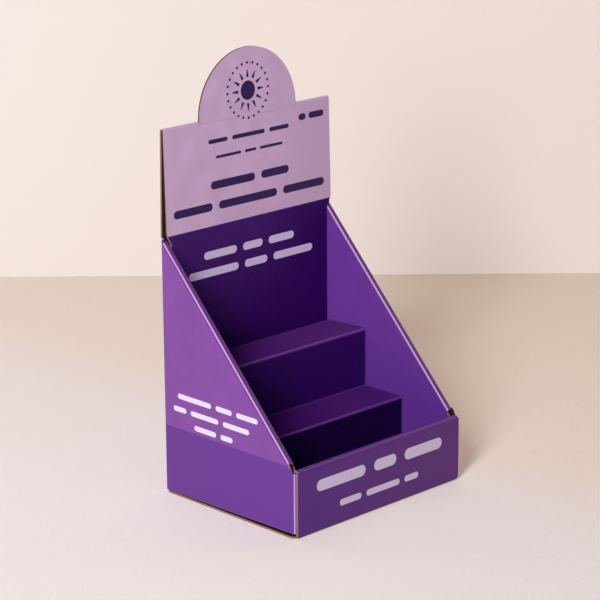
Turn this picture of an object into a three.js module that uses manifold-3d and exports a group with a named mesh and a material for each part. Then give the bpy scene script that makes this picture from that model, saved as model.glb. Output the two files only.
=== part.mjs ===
// Counter display box of thin corrugated board: a tray folded from one die-cut sheet, with double
// walls and a fold-over header, and a loose step insert folded from a second sheet.
// Millimetres, +Z up, the open front faces -Y, and the origin is the middle of the underside.
import * as THREE from 'three';
import * as BufferGeometryUtils from 'three/addons/utils/BufferGeometryUtils.js';
import Module from 'manifold-3d';

const wasm = await Module();
wasm.setup();

// Board
const boardThickness = 1.5;
const creaseRadius = 0.5;
const fitGap = 0.3;
const tuckGap = 0.4;

// Tray, measured over the outside faces of its walls
const trayWidth = 162;
const trayDepth = 131.5;
const wallThickness = 5.2;
const frontHeight = 48.1;
const sideHeight = 184.4;
const slopeEndHeight = 50.3;
const slopeEndSetback = 5.8;
const spineEndSetback = 7.6;
const frontFaceInset = 1;
const baseOverhang = 0.5;
const sideFootRear = 2;
const sideFootFront = 4.4;
const cornerFlapLength = 38;
const rearLapLength = 8;

// Die-cut corners
const frontCornerRadius = 2.5;
const rearCornerRadius = 2.5;
const headerCornerRadius = 1.5;

// Header
const shoulderHeight = 260;
const crownRadius = 46;
const crownLap = 8;
const headerInset = 1.8;
const headerFootHeight = 185.4;
const shoulderGap = 0.4;

// Lock tabs that hold the inner walls down in slots of the base
const tabLength = 22;
const tabTaper = 2;
const sideTabSpacing = 64;
const endTabSpacing = 60;

// Step insert
const lowerTreadHeight = 51.8;
const upperTreadHeight = 95.4;
const upperTreadFall = 1.4;
const pocketDepth = 45.5;
const lowerTreadDepth = 36.5;
const insertSideGap = 0.8;

const printedPurple = 0x6b3a93;
const insertPurple = 0x40205f;

// Places that several panels share
const halfBoard = boardThickness / 2;
const outerBend = creaseRadius + boardThickness;
const halfWidth = trayWidth / 2;
const halfDepth = trayDepth / 2;
const innerHalfWidth = halfWidth - wallThickness;
const pocketFront = -halfDepth + wallThickness;
const liningFace = halfDepth - wallThickness;
const floorTop = boardThickness + fitGap;
const frontHalfWidth = halfWidth - frontFaceInset;
const baseHalfWidth = halfWidth + baseOverhang;
const headerHalfWidth = halfWidth - headerInset;
const liningHalfWidth = innerHalfWidth - tuckGap;
const frontSpineHalfWidth = halfWidth - boardThickness - tuckGap;
const shoulderRadius = shoulderGap / 2;
const spineRear = halfDepth - outerBend;
const slopeEnd = -halfDepth + slopeEndSetback;
const slopeAngle = Math.atan2(sideHeight - slopeEndHeight, halfDepth - slopeEnd);
const spineEnd = -halfDepth + spineEndSetback;
const flapMiddle = -halfDepth + wallThickness / 2;
const past = 1; // how far a cutting outline runs past what it trims

// Height of the sloping top edge of a side wall at depth y.
function slopeHeight(y) {
  return sideHeight - (halfDepth - y) * Math.tan(slopeAngle);
}

// Turns a closed three.js geometry into a solid that can be joined and cut.
function solid(geometry) {
  geometry.deleteAttribute('normal');
  geometry.deleteAttribute('uv');
  const merged = BufferGeometryUtils.mergeVertices(geometry, 1e-4);
  const mesh = new wasm.Mesh({
    numProp: 3,
    vertProperties: merged.attributes.position.array,
    triVerts: new Uint32Array(merged.index.array),
  });
  return new wasm.Manifold(mesh);
}

function join(pieces) {
  return pieces.reduce((whole, piece) => whole.add(piece));
}

// Outline through the corners [a, b, radius], each rounded by a tangent arc of its radius.
function outline(corners) {
  const shape = new THREE.Shape();
  const count = corners.length;
  corners.forEach(([a, b, radius = 0], index) => {
    const corner = new THREE.Vector2(a, b);
    const before = new THREE.Vector2(...corners[(index + count - 1) % count]);
    const after = new THREE.Vector2(...corners[(index + 1) % count]);
    const inward = corner.clone().sub(before).normalize();
    const outward = after.clone().sub(corner).normalize();
    const turn = Math.atan2(inward.cross(outward), inward.dot(outward));
    const setback = radius * Math.tan(Math.abs(turn) / 2);
    const start = corner.clone().addScaledVector(inward, -setback);
    if (index === 0) shape.moveTo(start.x, start.y);
    else shape.lineTo(start.x, start.y);
    if (radius > 0) {
      const side = Math.sign(turn);
      const normal = new THREE.Vector2(-inward.y, inward.x).multiplyScalar(side);
      const centre = start.clone().addScaledVector(normal, radius);
      const from = Math.atan2(-normal.y, -normal.x);
      shape.absarc(centre.x, centre.y, radius, from, from + turn, side < 0);
    }
  });
  shape.closePath();
  return shape;
}

// The same outline with its mirror image added on the other side of the upright middle line.
function mirroredOutline(rightHalf) {
  const leftHalf = rightHalf.map(([a, b, radius]) => [-a, b, radius]).reverse();
  return outline([...rightHalf, ...leftHalf]);
}

// Prism along X from a (y, z) outline, along Y from an (x, z) outline, or along Z from an (x, y) one.
function prism(shape, axis, from, to, curveSegments = 4) {
  const directions = {
    x: [[0, 1, 0], [0, 0, 1], [1, 0, 0]],
    y: [[1, 0, 0], [0, 0, 1], [0, -1, 0]],
    z: [[1, 0, 0], [0, 1, 0], [0, 0, 1]],
  }[axis].map((direction) => new THREE.Vector3(...direction));
  const geometry = new THREE.ExtrudeGeometry(shape, { depth: to - from, bevelEnabled: false, curveSegments });
  geometry.translate(0, 0, axis === 'y' ? -to : from);
  geometry.applyMatrix4(new THREE.Matrix4().makeBasis(...directions));
  return solid(geometry);
}

// Section of a folded board: a strip one board thick along the middle line through the corners,
// with a round crease of the given inside radius at each corner between the two ends.
function foldedSection(corners, radii = []) {
  const points = corners.map((corner) => new THREE.Vector2(...corner));
  const leftFace = [];
  const rightFace = [];
  const place = (middle, normal) => {
    leftFace.push(middle.clone().addScaledVector(normal, halfBoard));
    rightFace.push(middle.clone().addScaledVector(normal, -halfBoard));
  };
  const heading = (index) => points[index + 1].clone().sub(points[index]).normalize();
  const leftOf = (direction) => new THREE.Vector2(-direction.y, direction.x);
  place(points[0], leftOf(heading(0)));
  for (let index = 1; index < points.length - 1; index += 1) {
    const inward = heading(index - 1);
    const outward = heading(index);
    const turn = Math.atan2(inward.cross(outward), inward.dot(outward));
    const radius = (radii[index] ?? creaseRadius) + halfBoard;
    const steps = Math.max(1, Math.round(Math.abs(turn) / (Math.PI / 8)));
    const normal = leftOf(inward);
    const centre = points[index].clone()
      .addScaledVector(inward, -radius * Math.tan(Math.abs(turn) / 2))
      .addScaledVector(normal, Math.sign(turn) * radius);
    for (let step = 0; step <= steps; step += 1) {
      const turned = normal.clone().rotateAround(new THREE.Vector2(), (turn * step) / steps);
      place(centre.clone().addScaledVector(turned, -Math.sign(turn) * radius), turned);
    }
  }
  place(points[points.length - 1], leftOf(heading(points.length - 2)));
  return new THREE.Shape([...leftFace, ...rightFace.reverse()]);
}

// The middle line of the header's front layer, from its foot to the shoulder crease.
const headerFoot = new THREE.Vector2(liningFace + halfBoard, headerFootHeight);
const headerTop = new THREE.Vector2(
  halfDepth - halfBoard - boardThickness - shoulderGap,
  shoulderHeight - halfBoard,
);

// The strip whose creases all run across the box: front lining, front, base, back, header and back lining.
function lengthwayStrip() {
  const liningMiddle = pocketFront - halfBoard;
  const frontMiddle = -halfDepth + halfBoard;
  const backMiddle = halfDepth - halfBoard;
  const corners = [
    [liningMiddle, floorTop],
    [liningMiddle, frontHeight - halfBoard],
    [frontMiddle, frontHeight - halfBoard],
    [frontMiddle, halfBoard],
    [backMiddle, halfBoard],
    [backMiddle, shoulderHeight - halfBoard],
    headerTop.toArray(),
    headerFoot.toArray(),
    [headerFoot.x, floorTop],
  ];
  const radii = [];
  radii[5] = shoulderRadius;
  radii[6] = shoulderRadius;
  return prism(foldedSection(corners, radii), 'x', -baseHalfWidth, baseHalfWidth);
}

// Front panel: rounded lower corners that relieve the ends of the bottom crease, and a top crease that
// drops between the side panels.
function frontOutline() {
  return mirroredOutline([
    [frontHalfWidth - frontCornerRadius, -past],
    [frontHalfWidth - frontCornerRadius, 0],
    [frontHalfWidth, 0, frontCornerRadius],
    [frontHalfWidth, frontHeight - outerBend, creaseRadius],
    [frontSpineHalfWidth, frontHeight - boardThickness],
    [frontSpineHalfWidth, frontHeight + past],
  ]);
}

// Spine over the front wall, and the narrower lining that hangs from it.
function frontLiningOutline() {
  return mirroredOutline([
    [liningHalfWidth, floorTop - fitGap / 2],
    [liningHalfWidth, frontHeight - outerBend],
    [frontSpineHalfWidth, frontHeight - outerBend],
    [frontSpineHalfWidth, frontHeight + past],
  ]);
}

// Base panel, relieved at the four corners where its creases end.
function baseOutline() {
  return mirroredOutline([
    [frontHalfWidth - frontCornerRadius, -halfDepth - past],
    [frontHalfWidth - frontCornerRadius, -halfDepth + outerBend],
    [baseHalfWidth, -halfDepth + outerBend, baseHalfWidth - frontHalfWidth + frontCornerRadius],
    [baseHalfWidth, halfDepth - outerBend, rearCornerRadius],
    [baseHalfWidth - rearCornerRadius, halfDepth - outerBend],
    [baseHalfWidth - rearCornerRadius, halfDepth + past],
  ]);
}

// Back panel with the header's rear layer above it. The crown was cut out of this layer and swung up
// with the front one, so a half-round window of its size hangs from the shoulder crease.
function backOutline() {
  const shape = new THREE.Shape();
  const bend = halfWidth - outerBend;
  const windowRadius = crownRadius + tuckGap;
  shape.moveTo(-baseHalfWidth + rearCornerRadius, -past);
  shape.lineTo(baseHalfWidth - rearCornerRadius, -past);
  shape.lineTo(baseHalfWidth - rearCornerRadius, outerBend);
  shape.lineTo(bend, rearCornerRadius + sideFootRear);
  shape.lineTo(bend, sideHeight);
  shape.lineTo(halfWidth - creaseRadius, sideHeight);
  shape.lineTo(headerHalfWidth, shoulderHeight - outerBend);
  shape.lineTo(headerHalfWidth, shoulderHeight + past);
  shape.lineTo(windowRadius, shoulderHeight + past);
  shape.absarc(0, shoulderHeight, windowRadius, 0, -Math.PI, true);
  shape.lineTo(-windowRadius, shoulderHeight + past);
  shape.lineTo(-headerHalfWidth, shoulderHeight + past);
  shape.lineTo(-headerHalfWidth, shoulderHeight - outerBend);
  shape.lineTo(-halfWidth + creaseRadius, sideHeight);
  shape.lineTo(-bend, sideHeight);
  shape.lineTo(-bend, rearCornerRadius + sideFootRear);
  shape.lineTo(-baseHalfWidth + rearCornerRadius, outerBend);
  shape.closePath();
  return shape;
}

// Header's front layer with the narrower back lining below it. The crease is cut away beside the crown.
function headerOutline() {
  const creaseFoot = shoulderHeight - shoulderRadius - boardThickness - tuckGap;
  return mirroredOutline([
    [liningHalfWidth, floorTop - fitGap / 2],
    [liningHalfWidth, headerFootHeight],
    [headerHalfWidth, headerFootHeight, headerCornerRadius],
    [headerHalfWidth, shoulderHeight + past],
    [crownRadius + tuckGap, shoulderHeight + past],
    [crownRadius + tuckGap, creaseFoot],
  ]);
}

// Everything that the die leaves of the lengthway strip, panel by panel.
function lengthwayPanels() {
  const frontSplit = -halfDepth + boardThickness + fitGap / 2;
  const backSplit = halfDepth - boardThickness - shoulderGap / 2;
  return join([
    prism(frontOutline(), 'y', -halfDepth - past, frontSplit),
    prism(frontLiningOutline(), 'y', frontSplit, pocketFront + fitGap),
    prism(baseOutline(), 'z', -past, boardThickness + fitGap / 2),
    prism(backOutline(), 'y', backSplit, halfDepth + past, 16),
    prism(headerOutline(), 'y', liningFace - fitGap, backSplit),
  ]);
}

// Half-round crown: it stands up as one flat sheet with the header's front layer.
function crown() {
  const rise = headerTop.clone().sub(headerFoot).normalize();
  const foot = headerTop.clone().addScaledVector(rise, -crownLap);
  const top = headerTop.clone().addScaledVector(rise, crownRadius + crownLap);
  const sheet = prism(foldedSection([foot.toArray(), top.toArray()]), 'x', -halfWidth, halfWidth);
  const shape = new THREE.Shape();
  shape.moveTo(-crownRadius, shoulderHeight - crownLap);
  shape.lineTo(crownRadius, shoulderHeight - crownLap);
  shape.lineTo(crownRadius, shoulderHeight);
  shape.absarc(0, shoulderHeight, crownRadius, 0, Math.PI, false);
  shape.closePath();
  return sheet.intersect(prism(shape, 'y', liningFace, halfDepth + past, 16));
}

// Side panel with its rear crease and the corner flap tucked between the front panel and its lining.
function sidePanel(side) {
  const sideMiddle = side * (halfWidth - halfBoard);
  const section = foldedSection([
    [side * (halfWidth - rearLapLength), halfDepth - halfBoard],
    [sideMiddle, halfDepth - halfBoard],
    [sideMiddle, flapMiddle],
    [side * (halfWidth - cornerFlapLength), flapMiddle],
  ]);
  const belt = prism(section, 'z', 0, sideHeight + past);
  const bendDrop = outerBend / Math.cos(slopeAngle);
  const flapTop = frontHeight - boardThickness - fitGap;
  const shape = outline([
    [halfDepth, sideFootRear, rearCornerRadius],
    [halfDepth, sideHeight],
    [spineRear, slopeHeight(spineRear)],
    [spineRear, slopeHeight(spineRear) - bendDrop],
    [spineEnd, slopeHeight(spineEnd) - bendDrop],
    [spineEnd, slopeHeight(spineEnd)],
    [slopeEnd, slopeHeight(slopeEnd), creaseRadius],
    [flapMiddle + outerBend - halfBoard, flapTop, creaseRadius],
    [-halfDepth, flapTop],
    [-halfDepth, sideFootFront],
  ]);
  return belt.intersect(prism(shape, 'x', -halfWidth - past, halfWidth + past));
}

// Sloping spine along the top of a side wall and the lining that hangs from it to the base.
function sideLining(side) {
  const section = foldedSection([
    [side * (halfWidth - halfBoard), -wallThickness],
    [side * (halfWidth - halfBoard), -halfBoard],
    [side * (innerHalfWidth + halfBoard), -halfBoard],
    [side * (innerHalfWidth + halfBoard), -sideHeight],
  ]);
  const reach = trayDepth + sideHeight; // far enough down the slope for the lining's lower front corner
  const geometry = new THREE.ExtrudeGeometry(section, { depth: reach, bevelEnabled: false });
  geometry.rotateX(slopeAngle + Math.PI / 2);
  geometry.translate(0, halfDepth, sideHeight);
  const front = pocketFront + tuckGap;
  const shape = outline([
    [spineRear, floorTop],
    [spineRear, sideHeight + past],
    [spineEnd, sideHeight + past],
    [spineEnd, slopeHeight(spineEnd)],
    [front, frontHeight - outerBend],
    [front, floorTop],
  ]);
  return solid(geometry).intersect(prism(shape, 'x', -halfWidth - past, halfWidth + past));
}

// Where the lock tabs stand: middle x and y, and whether their length runs along y.
function tabPlaces() {
  const places = [];
  for (const side of [-1, 1]) {
    for (const end of [-1, 1]) {
      places.push([side * (innerHalfWidth + halfBoard), (end * sideTabSpacing) / 2, true]);
      const endMiddle = end > 0 ? liningFace + halfBoard : pocketFront - halfBoard;
      places.push([(side * endTabSpacing) / 2, endMiddle, false]);
    }
  }
  return places;
}

// Tab one board thick that narrows downwards through the base.
function lockTab([x, y, alongDepth]) {
  const middle = alongDepth ? y : x;
  const across = alongDepth ? x : y;
  const shape = new THREE.Shape([
    new THREE.Vector2(middle - tabLength / 2, 2 * floorTop),
    new THREE.Vector2(middle - tabLength / 2 + tabTaper, fitGap),
    new THREE.Vector2(middle + tabLength / 2 - tabTaper, fitGap),
    new THREE.Vector2(middle + tabLength / 2, 2 * floorTop),
  ]);
  return prism(shape, alongDepth ? 'x' : 'y', across - halfBoard, across + halfBoard);
}

function lockSlot([x, y, alongDepth]) {
  const long = tabLength / 2 + fitGap;
  const short = halfBoard + fitGap;
  const [a, b] = alongDepth ? [short, long] : [long, short];
  const shape = outline([[x - a, y - b], [x + a, y - b], [x + a, y + b], [x - a, y + b]]);
  return prism(shape, 'z', -past, floorTop);
}

function displayTray() {
  const sheet = lengthwayStrip().intersect(lengthwayPanels());
  const slotted = tabPlaces().reduce((rest, place) => rest.subtract(lockSlot(place)), sheet);
  return join([
    slotted,
    crown(),
    ...[-1, 1].flatMap((side) => [sidePanel(side), sideLining(side)]),
    ...tabPlaces().map(lockTab),
  ]);
}

// Two treads and their risers, with a floor panel in front and a leg behind, one bent strip wide.
function stepInsert() {
  const floorMiddle = floorTop + halfBoard;
  const lowerNose = pocketFront + pocketDepth + halfBoard;
  const upperNose = lowerNose + lowerTreadDepth;
  const legMiddle = liningFace - fitGap - halfBoard;
  const section = foldedSection([
    [pocketFront + tuckGap, floorMiddle],
    [lowerNose, floorMiddle],
    [lowerNose, lowerTreadHeight - halfBoard],
    [upperNose, lowerTreadHeight - halfBoard],
    [upperNose, upperTreadHeight - halfBoard],
    [legMiddle, upperTreadHeight - upperTreadFall - halfBoard],
    [legMiddle, floorTop],
  ]);
  const reach = innerHalfWidth - insertSideGap;
  return prism(section, 'x', -reach, reach);
}

function board(name, color) {
  return new THREE.MeshStandardMaterial({ name, color, roughness: 0.55, metalness: 0 });
}

// A named mesh from a finished solid.
function part(name, body, material) {
  const { vertProperties, triVerts } = body.getMesh();
  const geometry = new THREE.BufferGeometry();
  geometry.setAttribute('position', new THREE.BufferAttribute(vertProperties, 3));
  geometry.setIndex(new THREE.BufferAttribute(triVerts, 1));
  const mesh = new THREE.Mesh(geometry, material);
  mesh.name = name;
  return mesh;
}

const displayBox = new THREE.Group();
displayBox.name = 'display_box';
displayBox.add(
  part('display_tray', displayTray(), board('printed_board', printedPurple)),
  part('step_insert', stepInsert(), board('insert_board', insertPurple)),
);

export default displayBox;
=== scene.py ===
# A countertop display box of thin corrugated board: one folded tray with double walls and a
# fold-over header, and a loose step insert. All lengths are metres, Z is up, the open front faces -Y.
import math

import bpy
import numpy as np
from mathutils import Matrix, Vector


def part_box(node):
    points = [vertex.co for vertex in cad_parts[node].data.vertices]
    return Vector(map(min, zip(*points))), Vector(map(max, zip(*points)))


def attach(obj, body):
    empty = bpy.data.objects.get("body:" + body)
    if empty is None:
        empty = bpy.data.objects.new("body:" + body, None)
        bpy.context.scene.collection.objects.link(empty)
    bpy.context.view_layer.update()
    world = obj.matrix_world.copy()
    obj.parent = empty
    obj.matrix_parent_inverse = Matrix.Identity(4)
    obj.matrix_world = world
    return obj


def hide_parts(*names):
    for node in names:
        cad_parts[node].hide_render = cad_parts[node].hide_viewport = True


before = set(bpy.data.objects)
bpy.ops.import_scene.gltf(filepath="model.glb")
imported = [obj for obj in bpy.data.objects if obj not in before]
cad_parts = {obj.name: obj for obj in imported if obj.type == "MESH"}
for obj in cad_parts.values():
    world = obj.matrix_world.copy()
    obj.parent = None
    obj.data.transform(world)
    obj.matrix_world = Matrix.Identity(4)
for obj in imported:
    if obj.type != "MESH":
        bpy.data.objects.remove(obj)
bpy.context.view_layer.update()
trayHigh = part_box("display_tray")[1]
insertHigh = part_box("step_insert")[1]

# The camera stands in front of the left front corner and looks a little down.
view = {
    "place": (-1.1183, -1.1268, 0.6042),
    "heading": -44.471,  # degrees from +Y, towards -X when positive
    "dip": 16.412,  # degrees below the horizon
    "roll": -0.349,
    "lens": 143.41,  # mm, on a sensor 36 mm wide
}


def addObject(name, data):
    # puts a mesh, a lamp or the camera into the scene
    thing = bpy.data.objects.new(name, data)
    bpy.context.scene.collection.objects.link(thing)
    return thing


def buildCamera(view):
    data = bpy.data.cameras.new("camera")
    data.sensor_width = 36
    data.lens = view["lens"]
    data.clip_start = 0.05
    data.clip_end = 30
    camera = addObject("camera", data)
    heading = Matrix.Rotation(math.radians(view["heading"]), 4, "Z")
    dip = Matrix.Rotation(math.radians(90 - view["dip"]), 4, "X")
    roll = Matrix.Rotation(math.radians(view["roll"]), 4, "Z")
    camera.matrix_world = Matrix.Translation(view["place"]) @ heading @ dip @ roll
    bpy.context.scene.camera = camera


buildCamera(view)
print("camera placed")

board = {
    "thickness": 0.0015,
    "liner": 0.00028,  # each outer paper layer, as a cut edge shows it
    "fold": 0.0005,  # inside radius of a crease
    "foldSteps": 7,
    "creaseWidth": 0.0016,  # how far the strain of a crease shows beside it
    "flutePitch": 0.0034,
    "fluteHeight": 0.00042,  # swing of the fluted paper to each side of the board's middle
    "flutePaper": 0.00013,
}
micron = 1e-6
halfBoard = board["thickness"] / 2
bend = board["fold"] + board["thickness"]  # outside radius of a crease
midBend = board["fold"] + halfBoard

# Numbers of the material slots on a piece: inks first, then the bare surfaces.
inks = {"plain": 0, "header": 1, "lining": 2, "side": 3, "front": 4, "spine": 5}
# bare faces in the hollow slot take a kraft darkened with painted shade
bareSlots = {"hollow": 6, "kraft": 7, "edge": 8, "headerEdge": 9, "wallEdge": 10}


def spread(start, end, step):
    # even stops from start to end, about one step apart
    count = max(1, round(abs(end - start) / step))
    return np.linspace(start, end, count + 1)


def onGrid(shape, *parts):
    # two or three coordinates, each an array or a number spread over a grid, as one array
    return np.stack([np.broadcast_to(part, shape) for part in parts], -1)


def arcStops(start, end, count):
    # stops that crowd towards start: start + (end - start) * (1 - cos(turn)), turn from 0 to 90 degrees
    return start + (end - start) * (1 - np.cos(np.linspace(0, np.pi / 2, count + 1)))


def foldedLine(corners, radii, stops):
    # Middle line of a folded board: straight runs from corner to corner, each inner corner an arc
    # centre + radius * (cos, sin) tangent to both runs. A run is also cut at its stops, which are
    # distances from its first corner. Gives points, headings, lengths run and the run of each
    # point: whole numbers on straight runs, halves on the arcs between them.
    corners = np.array(corners, float)
    steps = np.diff(corners, axis=0)
    lengths = np.linalg.norm(steps, axis=1)
    headings = steps / lengths[:, None]
    crossed = headings[:-1, 0] * headings[1:, 1] - headings[:-1, 1] * headings[1:, 0]
    turns = np.arctan2(crossed, (headings[:-1] * headings[1:]).sum(1))
    setbacks = np.concatenate([[0], radii * np.tan(np.abs(turns) / 2), [0]])
    points, directions, runs = [], [], []
    for k, heading in enumerate(headings):
        first, last = setbacks[k], lengths[k] - setbacks[k + 1]
        inside = stops[k][(stops[k] > first + micron) & (stops[k] < last - micron)]
        cuts = np.concatenate([[first], np.sort(inside), [last]])
        points.append(corners[k] + cuts[:, None] * heading)
        directions.append(np.repeat(heading[None], len(cuts), 0))
        runs.append(np.full(len(cuts), float(k)))
        if k < len(turns):
            swept = np.linspace(0, turns[k], board["foldSteps"] + 1)[1:-1, None]
            side = np.sign(turns[k])
            left = np.array([-heading[1], heading[0]])
            centre = points[-1][-1] + side * radii[k] * left
            turnedLeft = left * np.cos(swept) - heading * np.sin(swept)
            points.append(centre - side * radii[k] * turnedLeft)
            directions.append(heading * np.cos(swept) + left * np.sin(swept))
            runs.append(np.full(len(swept), k + 0.5))
    points, directions = np.concatenate(points), np.concatenate(directions)
    along = np.concatenate([[0], np.cumsum(np.linalg.norm(np.diff(points, axis=0), axis=1))])
    return points, directions, along, np.concatenate(runs)


def boardSheet(shape, middle, normal, flat, crease, present=True, ink=0, alongStations=True,
               bare=bareSlots["hollow"], printedWalls=False):
    # Closed sheet of board. The middle surface is a grid of stations by rails. Its printed face is
    # middle + normal * half, its bare face middle - normal * half, and a wall of three strips
    # stands wherever a present cell meets an absent one. UV is the flat sheet, x across the flutes.
    # Middle, normal and flat are each given as coordinates, arrays or numbers that the grid takes on.
    rows, columns = shape
    middle, normal, flat = (onGrid(shape, *parts) for parts in (middle, normal, flat))
    crease = np.broadcast_to(crease, shape)
    present, ink, bare, printedWalls = (
        np.broadcast_to(part, (rows - 1, columns - 1)) for part in (present, ink, bare, printedWalls))
    levels = np.array([halfBoard, halfBoard - board["liner"], board["liner"] - halfBoard, -halfBoard])
    points = middle[:, :, None] + normal[:, :, None] * levels[None, None, :, None]
    number = np.arange(rows * columns * 4).reshape(rows, columns, 4)
    onWall = (ink == inks["side"]) | (ink == inks["spine"])
    wallSlot = np.select(
        [printedWalls, onWall, ink == inks["header"]],
        [inks["spine"], bareSlots["wallEdge"], bareSlots["headerEdge"]], bareSlots["edge"])
    faces, slots, uvs, across = [], [], [], []

    def add(corners, slot, uv, cutAcross):
        faces.append(corners)
        slots.append(np.broadcast_to(slot, len(corners)))
        uvs.append(uv)
        across.append(np.full(len(corners), float(cutAcross)))

    i, j = np.nonzero(present)
    ring = [(i, j), (i + 1, j), (i + 1, j + 1), (i, j + 1)]
    for level, slot, way in ((0, ink, ring), (3, bare, ring[::-1])):
        corners = np.stack([number[a, b, level] for a, b in way], 1)
        add(corners, slot[i, j], np.stack([flat[a, b] for a, b in way], 1), 0)

    # each kind of border: where it is, its two corners, its own cell, and if it cuts across the flutes
    padded = np.pad(present, 1)
    borders = [
        (padded[1:, 1:-1] & ~padded[:-1, 1:-1], (0, 0), (0, 1), (0, 0), alongStations),
        (padded[:-1, 1:-1] & ~padded[1:, 1:-1], (0, 1), (0, 0), (-1, 0), alongStations),
        (padded[1:-1, 1:] & ~padded[1:-1, :-1], (1, 0), (0, 0), (0, 0), not alongStations),
        (padded[1:-1, :-1] & ~padded[1:-1, 1:], (0, 0), (1, 0), (0, -1), not alongStations),
    ]
    for border, first, second, cell, cutAcross in borders:
        i, j = np.nonzero(border)
        start = (i + first[0], j + first[1])
        end = (i + second[0], j + second[1])
        slot = wallSlot[i + cell[0], j + cell[1]]
        run = flat[..., 0] if cutAcross else flat[..., 1]
        for level in range(3):
            corners = np.stack(
                [number[(*start, level)], number[(*end, level)], number[(*end, level + 1)],
                 number[(*start, level + 1)]], 1)
            deep = halfBoard - levels[[level, level, level + 1, level + 1]]
            uv = np.stack([run[start], run[end], run[end], run[start]], 1)
            add(corners, slot, np.stack([uv, np.broadcast_to(deep, uv.shape)], 2), cutAcross)

    # the printed side decides which way round every face is listed
    cells = np.argwhere(present)
    a, b = cells[len(cells) // 2]
    outward = np.cross(middle[a + 1, b] - middle[a, b], middle[a, b + 1] - middle[a, b])
    faces, uvs = np.concatenate(faces), np.concatenate(uvs)
    if outward @ normal[a, b] < 0:
        faces, uvs = faces[:, ::-1], uvs[:, ::-1]
    return {
        "points": points.reshape(-1, 3),
        "faces": faces,
        "slots": np.concatenate(slots),
        "uvs": uvs,
        "across": np.concatenate(across),
        "crease": np.broadcast_to(crease[:, :, None], (rows, columns, 4)).reshape(-1),
        "printed": np.broadcast_to([True, False, False, False], (rows, columns, 4)).reshape(-1),
    }


def crossedSheet(across, points, headings, along, crease, side, **settings):
    # Sheet whose line runs in the Y-Z plane, with its rails at x = across. It is printed on the left
    # of the line's heading, or on the right where side is -1.
    normal = (0.0, -side * headings[:, 1:], side * headings[:, :1])
    return boardSheet((len(along), across.shape[-1]), (across, points[:, :1], points[:, 1:]), normal,
                      (across, along[:, None]), crease, **settings)


def mirrored(sheet):
    # the same sheet on the other side of the plane x = 0, with its faces turned round again
    twin = dict(sheet)
    twin["points"] = sheet["points"] * (-1, 1, 1)
    twin["faces"] = sheet["faces"][:, ::-1]
    twin["uvs"] = sheet["uvs"][:, ::-1]
    return twin


def cutDistance(points, starts, ends):
    # distance from each point to the nearest of the segments from start to end: the point is dropped
    # onto every segment, share = (point - start) . (end - start) / length squared, kept within 0 to 1
    nearest = np.full(len(points), 1.0)
    steps = ends - starts
    lengths = (steps ** 2).sum(1)
    for part in np.array_split(np.arange(len(points)), len(points) // 500 + 1):
        gap = points[part][:, None] - starts[None]
        share = np.clip((gap * steps[None]).sum(2) / lengths[None], 0, 1)
        gap -= share[..., None] * steps[None]
        nearest[part] = np.sqrt((gap ** 2).sum(2).min(1))
    return nearest


def sewn(name, sheets, materials):
    # Joins sheets into one skin: corners in the same place become one, and a wall that two sheets
    # share is left out, so that the board runs on through the seam.
    offsets = np.cumsum([0] + [len(sheet["points"]) for sheet in sheets[:-1]])
    points = np.concatenate([sheet["points"] for sheet in sheets])
    faces = np.concatenate([sheet["faces"] + start for sheet, start in zip(sheets, offsets)])
    slots, uvs, across, crease, printed = (
        np.concatenate([sheet[key] for sheet in sheets])
        for key in ("slots", "uvs", "across", "crease", "printed"))
    cells = np.floor(points / micron + math.pi / 10).astype(np.int64)
    _, first, same = np.unique(cells, axis=0, return_index=True, return_inverse=True)
    faces = same.reshape(-1)[faces]
    _, kind, count = np.unique(np.sort(faces, 1), axis=0, return_inverse=True, return_counts=True)
    corners = faces != np.roll(faces, 1, 1)
    keep = (count[kind.reshape(-1)] == 1) & (corners.sum(1) > 2)
    faces, slots, uvs, across, corners = (a[keep] for a in (faces, slots, uvs, across, corners))
    used, compact = np.unique(faces, return_inverse=True)
    faces = compact.reshape(faces.shape)
    points, crease, printed = points[first][used], crease[first][used], printed[first][used]

    # distance of each printed corner from the nearest cut edge, where a wall meets the printed face
    onEdge = (slots >= bareSlots["edge"]) & (printed[faces].sum(1) == 2)
    rims = np.sort(np.where(printed[faces[onEdge]], faces[onEdge], -1), 1)[:, 2:]
    starts, ends = points[rims[:, 0]], points[rims[:, 1]]
    real = np.linalg.norm(ends - starts, axis=1) > micron
    rim = np.ones(len(points))
    rim[printed] = cutDistance(points[printed], starts[real], ends[real])

    mesh = bpy.data.meshes.new(name)
    mesh.vertices.add(len(points))
    mesh.vertices.foreach_set("co", points.astype(np.float32).ravel())
    loops = faces[corners]
    totals = corners.sum(1)
    mesh.loops.add(len(loops))
    mesh.loops.foreach_set("vertex_index", loops.astype(np.int32))
    mesh.polygons.add(len(faces))
    mesh.polygons.foreach_set("loop_start", (np.cumsum(totals) - totals).astype(np.int32))
    mesh.polygons.foreach_set("material_index", slots.astype(np.int32))
    mesh.polygons.foreach_set("use_smooth", np.ones(len(faces), bool))
    layer = mesh.uv_layers.new(name="flatSheet")
    layer.data.foreach_set("uv", uvs[corners].astype(np.float32).ravel())
    numbers = (("crease", "POINT", crease), ("rim", "POINT", rim), ("cutAcross", "FACE", across))
    for key, domain, values in numbers:
        mesh.attributes.new(key, "FLOAT", domain).data.foreach_set("value", values.astype(np.float32))
    mesh.update(calc_edges=True)
    mesh.validate()
    mesh.set_sharp_from_angle(angle=math.radians(40))
    for material in materials:
        mesh.materials.append(material)
    return addObject(name, mesh)


def creaseWeight(along, runs):
    # one at the middle of each crease, falling off as exp(-(gap / width) squared) beside it, as a column
    middles = np.array([along[runs == k + 0.5].mean() for k in range(int(runs.max()))])
    gap = np.abs(along[:, None] - middles[None]).min(1)
    return np.exp(-((gap / board["creaseWidth"]) ** 2))[:, None]


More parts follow.
